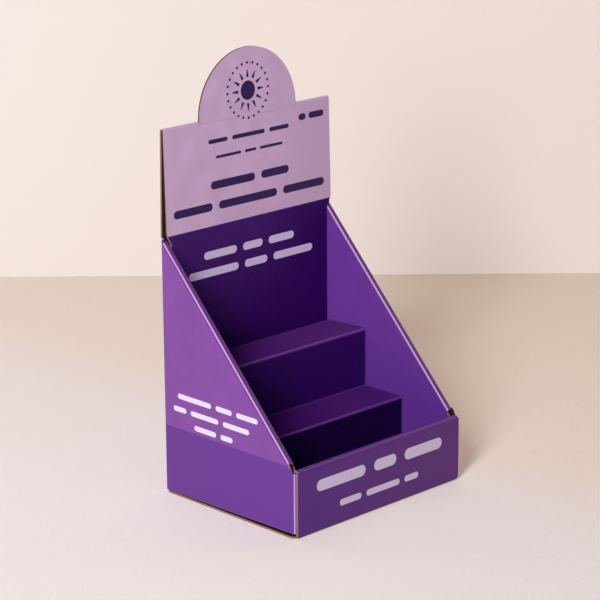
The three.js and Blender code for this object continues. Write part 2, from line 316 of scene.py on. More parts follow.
tray = {
    "halfWidth": 0.081,  # outside face of a side panel
    "halfDepth": trayHigh.y,
    "wall": 0.0052,  # a double wall, outside to inside
    "frontHeight": 0.0481,
    "sideHeight": 0.1844,
    "slopeEnd": (-0.05995, 0.0503),  # y and z where the sloping edge stops
    "spineEnd": -0.05815,
    "frontHalfWidth": 0.080,
    "baseHalfWidth": trayHigh.x,
    "footRear": 0.0016,
    "footFront": 0.0036,
    "flapLength": 0.038,
    "flapBand": 0.0018,  # height of the wall's upper band where it runs out over the flap
    "fallStops": (0.00055, 0.00125, 0.00195),  # depths past the slope's end, over which the edge falls
    "tuckGap": 0.0004,
    "clearance": 0.0003,
    "floorTop": 0.0018,
    "frontCorners": (0.0025, 0.0040),  # left and right lower corners of the front, the right one worn
    "rearCorner": 0.0025,
    "liningStops": (0, 0.0008, 0.002, 0.004, 0.008),  # fine rows of a side lining below its crease
}
header = {
    "halfWidth": 0.0792,
    "flare": 0.0805,  # half width of the rear layer at its foot
    "footHeight": 0.1854,
    "liningNotch": 0.1808,  # the back lining tapers from the foot down to this height
    "liningLaps": (0.0004, 0.0028),  # how far it reaches over the side linings there and at the foot
    "shoulder": 0.260,
    "crownRadius": 0.046,
    "corner": 0.0015,
    "shoulderGap": 0.0004,
    "slitFoot": 0.2579,
    "window": 0.0464,
}
tabs = {"length": 0.022, "taper": 0.002, "taperHeight": 0.0033, "levels": (0.0003, 0.0010),
        "sideSpacing": 0.064, "endSpacing": 0.060, "gap": 0.0003}

innerHalf = tray["halfWidth"] - tray["wall"]
liningHalf = innerHalf - tray["tuckGap"]  # the front and back linings stand between the side linings
spineHalf = tray["halfWidth"] - board["thickness"] - tray["tuckGap"]
liningFace = tray["halfDepth"] - tray["wall"]
wallRear = tray["halfDepth"] - bend  # where a side panel's rear crease ends
pocketFront = -liningFace
slopeAngle = math.atan2(tray["sideHeight"] - tray["slopeEnd"][1], tray["halfDepth"] - tray["slopeEnd"][0])
slopeDrop = bend / math.cos(slopeAngle)  # from the sloping edge down to where its crease ends


def slopeHeight(y):
    # height of the sloping top of a side wall at depth y
    return tray["sideHeight"] - (tray["halfDepth"] - y) * math.tan(slopeAngle)


def roundedCorner(distance, radius):
    # how far an edge stands back at a distance past a corner that a quarter circle rounds:
    # radius - square root of (radius squared - (radius - distance) squared)
    inside = np.clip(radius - distance, 0, radius)
    return radius - np.sqrt(radius ** 2 - inside ** 2)


# heights at which the back panel and a side panel's rear edge are both cut
seamFoot = tray["footRear"] + tray["rearCorner"]
seamTop = tray["sideHeight"] - tray["clearance"]
seamBand = slopeHeight(tray["halfDepth"] - halfBoard) - slopeDrop
seamHeights = np.concatenate([spread(seamFoot, seamBand, 0.009), spread(seamBand, seamTop, 0.002)[1:]])

# edges of the end slots across the base, and of the middle gap between the two shares of each
slotStops = tabs["endSpacing"] / 2 + np.array([-1, -0.35, 0.35, 1]) * (tabs["length"] / 2 + tabs["gap"])


def stripWidth(y, z, runs, corner):
    # Half width of the lengthway strip at each station, from its run: linings 0 and 7, front spine 1,
    # front panel 2, base 3, back panel and rear layer 4, header front layer 6. The front's lower corner
    # runs on round the crease at its foot.
    step = 0.0001
    spine = (runs < 2) & (z > tray["frontHeight"] - bend - step)
    panel = (runs >= 1.5) & (runs <= 2.5)
    rear = (runs >= 3.5) & (runs <= 4)
    layer = (runs >= 4.5) & (z > header["footHeight"] - step)
    shoulder = (runs >= 6.5) & (z > header["liningNotch"] - step)

    widen = np.clip((tray["frontHeight"] - board["thickness"] - z) / board["fold"], 0, 1)
    height = np.where(runs == 2.5, (z - halfBoard) * bend / midBend, z)
    front = spineHalf + (tray["frontHalfWidth"] - spineHalf) * widen - roundedCorner(height, corner)
    cornerDepth = tray["baseHalfWidth"] - tray["frontHalfWidth"] + corner
    base = (tray["baseHalfWidth"] - roundedCorner(y + wallRear, cornerDepth)
            - roundedCorner(wallRear - y, tray["rearCorner"]))
    rise = np.clip((z - tray["sideHeight"]) / (header["shoulder"] - bend - tray["sideHeight"]), 0, 1)
    flare = header["flare"] + (header["halfWidth"] - header["flare"]) * rise
    back = np.where(z > tray["sideHeight"] - step, flare, tray["halfWidth"] - bend)
    headerFront = header["halfWidth"] - roundedCorner(z - header["footHeight"], header["corner"])
    lap = np.interp(z, [header["liningNotch"], header["footHeight"]], header["liningLaps"])
    return np.select([shoulder, layer, rear, runs == 3, panel, spine],
                     [innerHalf + lap, headerFront, back, base, front, spineHalf], liningHalf)


# Rails of the strip beside its middle one, and the cells between them that the die can cut: those
# inside the window, of the end slots and of the side slots.
middleRails = [0, slotStops[0] / 2, *slotStops]
fixedRails = np.array([*middleRails, header["crownRadius"], header["window"], 0.053, 0.060, 0.067])
windowRail = list(fixedRails).index(header["window"])
endSlotCells = (2, 4)
sideSlotCell = len(fixedRails)
outerRails = (0.55, 0.8)  # shares of the way from the last fixed rail to the outer edge


def stripRails(z, runs, outer):
    # Rails across one half of the strip: fixed ones near the middle, squeezed to the window's
    # half width sqrt(radius squared - (shoulder - z) squared), and three that follow the outer edge.
    last = fixedRails[-1]
    sideBend = tray["halfWidth"] - bend
    sideSlot = innerHalf + halfBoard + np.array([-1, 1]) * (halfBoard + tabs["gap"])
    share = np.where(runs == 3, np.clip((outer - sideBend) / (tray["baseHalfWidth"] - sideBend), 0, 1), 0)
    free = [last + (outer - last) * part for part in outerRails]
    near, far = (rail + (slot - rail) * share for rail, slot in zip(free, sideSlot))
    under = header["shoulder"] - header["window"] - z
    window = np.sqrt(np.clip(header["window"] ** 2 - (header["shoulder"] - z) ** 2, 0, None))
    easing = 0.025  # height below the window over which the squeeze ends
    squeeze = np.where(under < 0, window / header["window"], np.clip(under / easing, 0, 1))
    rails = np.repeat(fixedRails[None], len(z), 0)
    rails[:, :windowRail + 1] *= np.where((runs == 4) & (under < easing), squeeze, 1)[:, None]
    return np.concatenate([rails, np.stack([near, far, outer], 1)], 1)


def lengthwayStrip():
    # Front lining, front panel, base, back, header rear layer, header front layer and back lining:
    # one strip whose middle line runs in the Y-Z plane, with rails across it at x.
    back, low = tray["halfDepth"] - halfBoard, halfBoard
    liningMiddle = liningFace + halfBoard
    top = tray["frontHeight"] - halfBoard
    shoulder = header["shoulder"] - halfBoard
    frontLayerTop = back - board["thickness"] - header["shoulderGap"]
    shoulderBend = header["shoulderGap"] / 2 + halfBoard
    foot = header["footHeight"]
    corners = [
        (-liningMiddle, tray["floorTop"]), (-liningMiddle, top), (-back, top), (-back, low), (back, low),
        (back, shoulder), (frontLayerTop, shoulder), (liningMiddle, foot), (liningMiddle, tray["floorTop"]),
    ]
    radii = np.array([midBend] * 4 + [shoulderBend] * 2 + [midBend])
    halfSlot = tabs["length"] / 2 + tabs["gap"]
    ends = [(s, t) for s in (-1, 1) for t in (-1, 1)]
    sideSlots = [s * tabs["sideSpacing"] / 2 + t * halfSlot for s, t in ends]
    endSlots = [s * (liningMiddle + t * (halfBoard + tabs["gap"])) for s, t in ends]
    widest = max(tray["frontCorners"])
    cornerDepth = tray["baseHalfWidth"] - tray["frontHalfWidth"] + widest
    baseStops = np.concatenate([
        arcStops(-wallRear, cornerDepth - wallRear, 8), arcStops(wallRear, wallRear - tray["rearCorner"], 6),
        spread(-0.055, 0.055, 0.011), sideSlots, endSlots])
    windowStops = header["shoulder"] - header["window"] * np.cos(np.linspace(0, np.pi / 2, 25))[:-2]
    backStops = np.concatenate([
        seamHeights, [tray["sideHeight"]], spread(0.190, 0.212, 0.006), windowStops])
    frontLayerStops = np.concatenate([
        foot + arcStops(0, header["corner"], 7), spread(0.192, 0.256, 0.008), [header["slitFoot"]]])
    frontStops = np.concatenate([
        spread(tray["frontHeight"] - bend, 0.012, 0.006), arcStops(0, widest, 7)])
    notch = 0.0002  # height over which a strip changes width at a notch
    liningStops = np.append(spread(0.002, 0.044, 0.007), tray["frontHeight"] - bend - notch)
    backLiningStops = np.concatenate([
        spread(0.178, 0.010, 0.012), header["liningNotch"] - np.array([0, notch]), [0.183, foot - notch]])
    stops = [
        liningStops - tray["floorTop"], np.zeros(0), top - frontStops, baseStops + back, backStops - low,
        np.zeros(0), shoulder - frontLayerStops, foot - backLiningStops,
    ]
    points, headings, along, runs = foldedLine(corners, radii, stops)
    y, z = points.T
    left, right = (stripRails(z, runs, stripWidth(y, z, runs, corner)) for corner in tray["frontCorners"])
    across = np.concatenate([-left[:, :0:-1], right], 1)

    # cells that the die cuts away: window and crown, the slits beside the crown, and the slots
    lastRun = np.maximum(runs[:-1], runs[1:])[:, None]
    firstRun = np.minimum(runs[:-1], runs[1:])[:, None]
    cellZ = ((z[:-1] + z[1:]) / 2)[:, None]
    cellY = ((y[:-1] + y[1:]) / 2)[:, None]
    cells = across.shape[1] - 1
    number = np.floor(np.abs(np.arange(cells) + 0.5 - cells / 2))[None]
    underCrown = number < windowRail
    rearLayer, frontLayer = firstRun == 4, (firstRun >= 5.5) & (lastRun <= 6)
    inWindow = rearLayer & (cellZ > header["shoulder"] - header["window"])
    inSlits = frontLayer & (cellZ > header["slitFoot"])
    onShoulder = (firstRun >= 4.5) & (lastRun <= 5.5)
    onBase = (firstRun == 3) & (lastRun == 3)
    inSide = np.abs(np.abs(cellY) - tabs["sideSpacing"] / 2) < tabs["length"] / 2
    inEnd = np.abs(np.abs(cellY) - liningMiddle) < halfBoard
    sideSlots = inSide & (number == sideSlotCell)
    endSlots = inEnd & (number >= endSlotCells[0]) & (number <= endSlotCells[1])
    present = ~((inWindow | inSlits | onShoulder) & underCrown | onBase & (sideSlots | endSlots))

    ink = np.select(
        [(lastRun >= 1.5) & (lastRun <= 2.5), (firstRun >= 5) & (lastRun <= 6), firstRun >= 6.5],
        [inks["front"], inks["header"], inks["lining"]], inks["plain"])
    bare = np.where(frontLayer, bareSlots["kraft"], bareSlots["hollow"])
    crease = creaseWeight(along, runs)
    return crossedSheet(across, points, headings, along, crease, -1, present=present, ink=ink, bare=bare)


def crown():
    # Half-round crown that runs on from the header's front layer: x = radius * cos(turn) across,
    # radius * sin(turn) up the layer's own slope.
    back = tray["halfDepth"] - halfBoard
    foot = np.array([liningFace + halfBoard, header["footHeight"]])
    top = np.array([back - board["thickness"] - header["shoulderGap"], header["shoulder"] - halfBoard])
    rise = (top - foot) / np.linalg.norm(top - foot)
    radius = header["crownRadius"]
    turn = np.linspace(0, np.pi / 2, 49)
    tall = radius - halfBoard * rise[0]  # the leaning sheet's front corner reaches the full radius
    z = np.concatenate([spread(header["slitFoot"], header["shoulder"], 0.001)[:-1],
                        header["shoulder"] + tall * np.sin(turn)])
    outer = np.concatenate([np.full(len(z) - len(turn), radius), radius * np.cos(turn)])
    half = outer[:, None] * np.array([*middleRails, radius])[None] / radius
    across = np.concatenate([-half[:, :0:-1], half], 1)
    points = np.stack([foot[0] + (z - foot[1]) * rise[0] / rise[1], z], 1)
    return crossedSheet(across, points, rise[None], z, 0.0, 1,
                        ink=inks["header"], bare=bareSlots["kraft"])


def sidePanel():
    # Right side panel: its line runs in the X-Y plane from the back panel round the rear crease, along
    # the wall and round the front crease into the corner flap, with rails at z up to the sloping edge.
    back = tray["halfDepth"] - halfBoard
    out = tray["halfWidth"] - halfBoard
    sideBend = tray["halfWidth"] - bend
    flapMiddle = -tray["halfDepth"] + tray["wall"] / 2
    slopeEnd, slopeEndHeight = tray["slopeEnd"]
    flapTop = tray["frontHeight"] - board["thickness"] - tray["clearance"]
    fallStops = slopeEnd - np.array(tray["fallStops"])
    flapStart = fallStops[-1]  # depth at which the falling edge reaches the flap's top
    corners = [(sideBend - 0.001, back), (out, back), (out, flapMiddle),
               (tray["halfWidth"] - tray["flapLength"], flapMiddle)]
    wallStops = np.concatenate([
        [tray["spineEnd"], slopeEnd], fallStops[:-1],
        spread(wallRear, tray["spineEnd"], 0.0078)[1:-1], wallRear - np.array([0.0002, 0.001, 0.002])])
    stops = [np.zeros(0), back - wallStops, spread(0.004, 0.036, 0.008)]
    points, headings, along, runs = foldedLine(corners, np.array([midBend] * 2), stops)
    points, headings, along, runs = points[1:], headings[1:], along[1:] - along[1], runs[1:]
    x, y = points.T

    depth = (tray["halfDepth"] - y) / (2 * tray["halfDepth"])
    foot = tray["footRear"] + (tray["footFront"] - tray["footRear"]) * depth
    low = foot + roundedCorner(along, tray["rearCorner"])
    low[0] = seamFoot
    past = y < slopeEnd + micron
    fall = np.clip((slopeEnd - y) / (slopeEnd - flapStart), 0, 1)
    band = slopeHeight(y) - slopeDrop
    band[0] = seamBand
    endBand = slopeHeight(slopeEnd) - slopeDrop
    band[past] = (endBand + (flapTop - tray["flapBand"] - endBand) * fall)[past]
    top = slopeHeight(y)
    top[0] = seamTop
    top[past] = (slopeEndHeight + (flapTop - slopeEndHeight) * fall)[past]

    share = (seamHeights[seamHeights <= seamBand + micron] - seamFoot) / (seamBand - seamFoot)
    earShare = (seamHeights[seamHeights >= seamBand - micron] - seamBand) / (seamTop - seamBand)
    lower = low[:, None] + (band - low)[:, None] * share
    z = np.concatenate([lower, band[:, None] + (top - band)[:, None] * earShare[1:]], 1)
    cellY = ((y[:-1] + y[1:]) / 2)[:, None]
    upper = (np.arange(z.shape[1] - 1) >= len(share) - 1)[None]
    present = ~(upper & (cellY < wallRear) & (cellY > tray["spineEnd"]))
    ears = upper & (cellY > wallRear)  # beside the back panel, printed over their cut
    sheet = boardSheet(
        z.shape, (x[:, None], y[:, None], z), (-headings[:, 1:], headings[:, :1], 0.0), (along[:, None], z),
        creaseWeight(along, runs), present, inks["side"], alongStations=False, printedWalls=ears)
    onWall = (y <= wallRear + micron) & (y >= tray["spineEnd"] - micron)
    return sheet, y[onWall]


def sideLining(depths):
    # Sloping spine of the right wall and the lining below it. The line runs in the plane square to
    # the slope, from the side panel's upper edge over the spine, and the rails follow the slope.
    slope = np.array([-math.cos(slopeAngle), -math.sin(slopeAngle)])  # y and z
    lift = np.array([-math.sin(slopeAngle), math.cos(slopeAngle)])
    out = tray["halfWidth"] - halfBoard
    inside = innerHalf + halfBoard
    corners = [(out, -bend - 0.001), (out, -halfBoard), (inside, -halfBoard), (inside, -bend - 0.001)]
    points, headings, along, runs = foldedLine(corners, np.array([midBend] * 2), [np.zeros(0)] * 3)
    points, headings, along, runs = points[1:-1], headings[1:-1], along[1:-1] - along[1], runs[1:-1]
    x, height = points.T
    start = np.array([tray["halfDepth"], tray["sideHeight"]])
    run = (start[0] - depths[None] + height[:, None] * lift[0]) / -slope[0]
    y = start[0] + run * slope[0] + height[:, None] * lift[0]
    z = start[1] + run * slope[1] + height[:, None] * lift[1]
    normal = (headings[:, 1:], -headings[:, :1] * lift[0], -headings[:, :1] * lift[1])
    spine = boardSheet(y.shape, (x[:, None], y, z), normal, (-y, z), creaseWeight(along, runs),
                       ink=inks["spine"], alongStations=False)

    # the lining hangs straight down from there, with columns at the same depths
    front = -liningFace + tray["tuckGap"]
    cutHeight = tray["frontHeight"] - bend
    noseDepths = spread(tray["spineEnd"], front, 0.0012)[1:]
    allDepths = np.concatenate([depths, noseDepths])
    noseTop = slopeHeight(tray["spineEnd"]) - slopeDrop
    nose = noseTop + (cutHeight - noseTop) * (tray["spineEnd"] - noseDepths) / (tray["spineEnd"] - front)
    top = np.concatenate([slopeHeight(depths) - slopeDrop, nose])
    drops = np.array(tray["liningStops"])
    share = np.linspace(0, 1, 15)[1:, None]
    fall = (top - tray["floorTop"] - drops[-1])[None] * share + drops[-1]
    z = np.concatenate([top[None] - drops[:, None], top[None] - fall])
    reach = along[-1] - along[runs == 1.5].mean()
    crease = np.exp(-(((top[None] - z) * math.cos(slopeAngle) + reach) / board["creaseWidth"]) ** 2)
    lining = boardSheet(z.shape, (inside, allDepths, z), (-1.0, 0.0, 0.0), (-allDepths, z), crease)
    return [spine, lining]


def lockTabs():
    # Tapered tabs at the foot of the linings, each a short sheet that stands in its slot.
    levels = np.array([*tabs["levels"], tray["floorTop"]])
    taper = tabs["taper"] * (1 - (levels - levels[0]) / tabs["taperHeight"])
    reach = (tabs["length"] / 2 - taper)[:, None] * np.linspace(-1, 1, 5)
    levels = levels[:, None]
    sheets = []
    for side, end in ((-1, -1), (-1, 1), (1, -1), (1, 1)):
        sideTab = (side * (innerHalf + halfBoard), end * tabs["sideSpacing"] / 2 + reach, levels)
        endTab = (side * tabs["endSpacing"] / 2 + reach, end * (liningFace + halfBoard), levels)
        for middle, normal in ((sideTab, (-side, 0, 0)), (endTab, (0, -end, 0))):
            sheets.append(boardSheet(reach.shape, middle, normal, (reach, levels), 0.0))
    return sheets


stepInsert = {
    "halfWidth": insertHigh.x,
    "lowerTread": 0.0518,
    "upperTread": 0.0954,
    "upperFall": 0.0014,
    "pocket": 0.0455,
    "tread": 0.0365,
    "gap": 0.0003,
}
# slots of the insert's colours, which are painted light and shade on one purple
insertInks = {"lowerTread": 0, "upperTread": 1, "lowerRiser": 2, "upperRiser": 3}


def insertSheet():
    # Floor panel, lower riser, lower tread, upper riser, upper tread and rear leg in one strip.
    low = tray["floorTop"] + halfBoard
    lowerNose = pocketFront + stepInsert["pocket"] + halfBoard
    upperNose = lowerNose + stepInsert["tread"]
    lowerTop, upperTop = stepInsert["lowerTread"] - halfBoard, stepInsert["upperTread"] - halfBoard
    leg = liningFace - stepInsert["gap"] - halfBoard
    corners = [
        (pocketFront + tray["tuckGap"], low), (lowerNose, low), (lowerNose, lowerTop), (upperNose, lowerTop),
        (upperNose, upperTop), (leg, upperTop - stepInsert["upperFall"]), (leg, tray["floorTop"]),
    ]
    points, headings, along, runs = foldedLine(
        corners, np.array([midBend] * 5), [spread(0.002, 0.120, 0.004)] * 6)
    across = spread(-stepInsert["halfWidth"], stepInsert["halfWidth"], 0.006)
    lastRun, firstRun = np.maximum(runs[:-1], runs[1:]), np.minimum(runs[:-1], runs[1:])
    ink = np.select(
        [(firstRun == 1) & (lastRun == 1), (firstRun == 3) & (lastRun == 3), firstRun >= 3],
        [insertInks["lowerRiser"], insertInks["upperRiser"], insertInks["upperTread"]],
        insertInks["lowerTread"])
    return crossedSheet(across, points, headings, along, creaseWeight(along, runs), 1,
                        ink=ink[:, None], bare=bareSlots["kraft"])


def linear(*channels):
    # linear light of each 0 to 255 channel of a colour picker: ((c + 0.055) / 1.055) to the power 2.4
    return tuple(c / 255 / 12.92 if c <= 10 else ((c / 255 + 0.055) / 1.055) ** 2.4 for c in channels)


class Field:
    # A value or colour that changes over a surface: a socket of a shader tree. Sums, products and
    # the like of fields and numbers become Math nodes of that tree.
    def __init__(self, tree, socket):
        self.tree = tree
        self.socket = socket

    def math(self, operation, *others):
        return Field(self.tree, addNode(self.tree, "Math", (self, *others), operation=operation).outputs[0])

    def __add__(self, other):
        return self.math("ADD", other)

    def __sub__(self, other):
        return self.math("SUBTRACT", other)

    def __mul__(self, other):
        return self.math("MULTIPLY", other)

    def __truediv__(self, other):
        return self.math("DIVIDE", other)

    def __abs__(self):
        return self.math("ABSOLUTE")


def setInputs(node, inputs):
    # Each input, by its name or number, is a number, a vector, a colour or a field, which is linked.
    for name, value in inputs.items():
        if isinstance(value, Field):
            value.tree.links.new(value.socket, node.inputs[name])
        elif isinstance(value, tuple) and len(value) == 3 and node.inputs[name].type == "RGBA":
            node.inputs[name].default_value = (*value, 1)
        else:
            node.inputs[name].default_value = value


def addNode(tree, kind, inputs=(), **settings):
    # one shader node with its settings, and its inputs in order or by name
    node = tree.nodes.new("ShaderNode" + kind)
    for name, value in settings.items():
        setattr(node, name, value)
    setInputs(node, inputs if isinstance(inputs, dict) else dict(enumerate(inputs)))
    return node


def outputs(tree, kind, inputs=(), **settings):
    # the fields that a new node gives
    return [Field(tree, socket) for socket in addNode(tree, kind, inputs, **settings).outputs]


def axes(place):
    # the three coordinates of a vector field
    return outputs(place.tree, "SeparateXYZ", (place,))


def attribute(tree, name):
    # a number that the mesh holds for each corner or face
    return outputs(tree, "Attribute", attribute_name=name)[2]


def largest(*fields):
    # the largest of the fields, which is 1 where at least one of several masks is
    total = fields[0]
    for other in fields[1:]:
        total = total.math("MAXIMUM", other)
    return total


def distance(across, up):
    # square root of (across squared + up squared)
    return (across * across + up * up).math("SQRT")


def ramp(value, start, end, first=0.0, last=1.0):
    # smooth rise from first to last while the value goes from start to end
    inputs = (value, start, end, first, last)
    return outputs(value.tree, "MapRange", inputs, interpolation_type="SMOOTHSTEP")[0]


def below(value, limit, soft=0.00006):
    # 1 where the value is under the limit, 0 where it is over, with a soft border
    return ramp(value, limit - soft, limit + soft, 1.0, 0.0)


def blend(share, first, second):
    # the first colour where share is 0, the second where it is 1
    return outputs(share.tree, "Mix", {0: share, 6: first, 7: second}, data_type="RGBA")[2]


def scaled(values, factor):
    # each value times the factor, such as a paler shade of a colour
    return tuple(factor * value for value in values)


def noise(position, scale, detail=2.0, stretch=None):
    # cloud noise from 0 to 1, drawn out along the axes whose stretch is small
    if stretch:
        position = outputs(position.tree, "VectorMath", (position, stretch), operation="MULTIPLY")[0]
    inputs = {"Vector": position, "Scale": scale, "Detail": detail}
    return outputs(position.tree, "TexNoise", inputs)[0]


# Waves of each noise to the metre. The last one is the studio paper's.
waves = {"fibre": 2600, "longFibre": 1900, "frayed": 2400, "fleck": 1500, "ragged": 900, "patch": 120,
         "cloud": 55, "drift": 40, "bow": 18, "tooth": 420}


def newGroup(name, inputs, results):
    # empty node group with named sockets, each input with its default: a number, or three for a vector
    group = bpy.data.node_groups.new(name, "ShaderNodeTree")
    for socket, value in inputs.items():
        kind = "NodeSocketVector" if isinstance(value, tuple) else "NodeSocketFloat"
        group.interface.new_socket(socket, in_out="INPUT", socket_type=kind).default_value = value
    for socket in results:
        group.interface.new_socket(socket, in_out="OUTPUT", socket_type="NodeSocketFloat")
    given = group.nodes.new("NodeGroupInput").outputs
    fields = {socket: Field(group, given[socket]) for socket in inputs}
    return group, fields, group.nodes.new("NodeGroupOutput")


def useGroup(tree, group, inputs):
    # puts a node group into a tree and gives its results by name
    node = addNode(tree, "Group", inputs, node_tree=group)
    return {socket.name: Field(tree, socket) for socket in node.outputs}


def paperGroup():
    # Paper surface on the flat sheet: short fibres, broad clouds in its shade, and the ribs of the
    # flutes below, cos(2 pi across / pitch). The board also bows a little between its flutes, as
    # damp paper does. Heights are metres.
    tree, given, result = newGroup(
        "paperSurface", {"Sheet": (0, 0, 0), "Fibre": 0.000006, "Rib": 0.000012, "Bow": 0.00022},
        ["Height", "Cloud", "Fleck"])
    sheet = given["Sheet"]
    fibres = noise(sheet, waves["fibre"], 3, (1, 0.22, 1))
    ribs = (axes(sheet)[0] * (2 * math.pi / board["flutePitch"])).math("COSINE")
    height = fibres * given["Fibre"] + ribs * given["Rib"] + noise(sheet, waves["bow"], 1) * given["Bow"]
    flecks = noise(sheet, waves["fleck"], 2, (1, 0.4, 1))
    setInputs(result, {"Height": height, "Cloud": noise(sheet, waves["cloud"], 4), "Fleck": flecks})
    return tree


# Where each mask starts and is complete: rubbed ink on a rim by the share of its width, the paler
# fold (stretched ink and a painted highlight) and its cracks by the strain of the crease, and in the
# ragged and patchy noise that breaks the cracks up.
wearAndSheenReach = {"rim": (1.15, 0.55), "fold": (0.91, 1.0), "crack": (0.72, 1.0), "ragged": (0.42, 0.66),
           "patch": (0.35, 0.65)}


def wearAndSheenGroup():
    # Rim is a ragged line of rubbed ink along cut edges, the fold output a smooth paler line along
    # creases, partly stretched ink and partly a painted highlight, and Crack broken strokes of rubbed
    # ink in it, each as strong as its input says.
    tree, given, result = newGroup(
        "rubbedInkAndFoldSheen", {"Sheet": (0, 0, 0), "Width": 0.0005, "Rims": 0.3, "Cracks": 0.1, "Folds": 0.3},
        ["Rim", "Crack", "FoldPalingAndSheen"])
    strain = attribute(tree, "crease")
    ragged = noise(given["Sheet"], waves["ragged"], 3)
    patchy = noise(given["Sheet"], waves["patch"], 2)
    share = attribute(tree, "rim") / (given["Width"] * (ragged + patchy))
    broken = ramp(ragged, *wearAndSheenReach["ragged"]) * ramp(patchy, *wearAndSheenReach["patch"])
    setInputs(result, {
        "Rim": ramp(share, *wearAndSheenReach["rim"]) * given["Rims"],
        "Crack": ramp(strain, *wearAndSheenReach["crack"]) * broken * given["Cracks"],
        "FoldPalingAndSheen": ramp(strain, *wearAndSheenReach["fold"]) * given["Folds"],
    })
    return tree


def barGroup():
    # Bar with round ends: distance to its middle line, sqrt(max(|across| - half length, 0) squared +
    # up squared), less its half height, is negative inside.
    tree, given, result = newGroup(
        "roundBar", {"Across": 0.0, "Up": 0.0, "Middle": 0.0, "Level": 0.0, "Half": 0.01, "Thick": 0.002},
        ["Mask"])
    straight = given["Half"] - given["Thick"]
    beyond = (abs(given["Across"] - given["Middle"]) - straight).math("MAXIMUM", 0.0)
    outside = distance(beyond, given["Up"] - given["Level"]) - given["Thick"]
    setInputs(result, {"Mask": below(outside, 0.0)})
    return tree


paperSurface, rubbedInkAndFoldSheen, roundBar = paperGroup(), wearAndSheenGroup(), barGroup()


def printedLines(across, up, lines):
    # a bar with round ends for each length in each row of the print, one after the other
    masks = []
    for level, left, thick, gap, lengths in lines:
        for length in lengths:
            inputs = {"Across": across, "Up": up, "Middle": left + length / 2, "Level": level,
                      "Half": length / 2, "Thick": thick / 2}
            masks.append(useGroup(across.tree, roundBar, inputs)["Mask"])
            left += length + gap
    return largest(*masks)


# How a printed face is finished. Along a crease the ink turns paler: partly a real paling of the stretched
# ink, partly a painted highlight.
satin = {
    "roughness": 0.46,
    "gloss": 0.20,
    "coat": 0.12,
    "coatRoughness": 0.28,
    "clouds": (0.3, 0.7),  # reach of the cloud noise between the two shades of an ink
    "shades": (0.94, 1.05),
    "uneven": 0.10,  # how much the roughness changes in the clouds
    "wornRoughness": 0.3,  # more where the ink is worn
    "fold": 0.68,
    "foldColor": linear(236, 180, 252),
    "rubbed": linear(186, 150, 166),  # paper that shows where the ink is rubbed off
    "rimWidth": 0.0004,
    "rims": 0.35,
    "cracks": 0.05,
    "specks": 0.08,
    "speckReach": (0.60, 0.74),
}
matt = {**satin, "roughness": 0.6, "gloss": 0.06, "coat": 0.03, "fold": 0.09, "rims": 0.2}

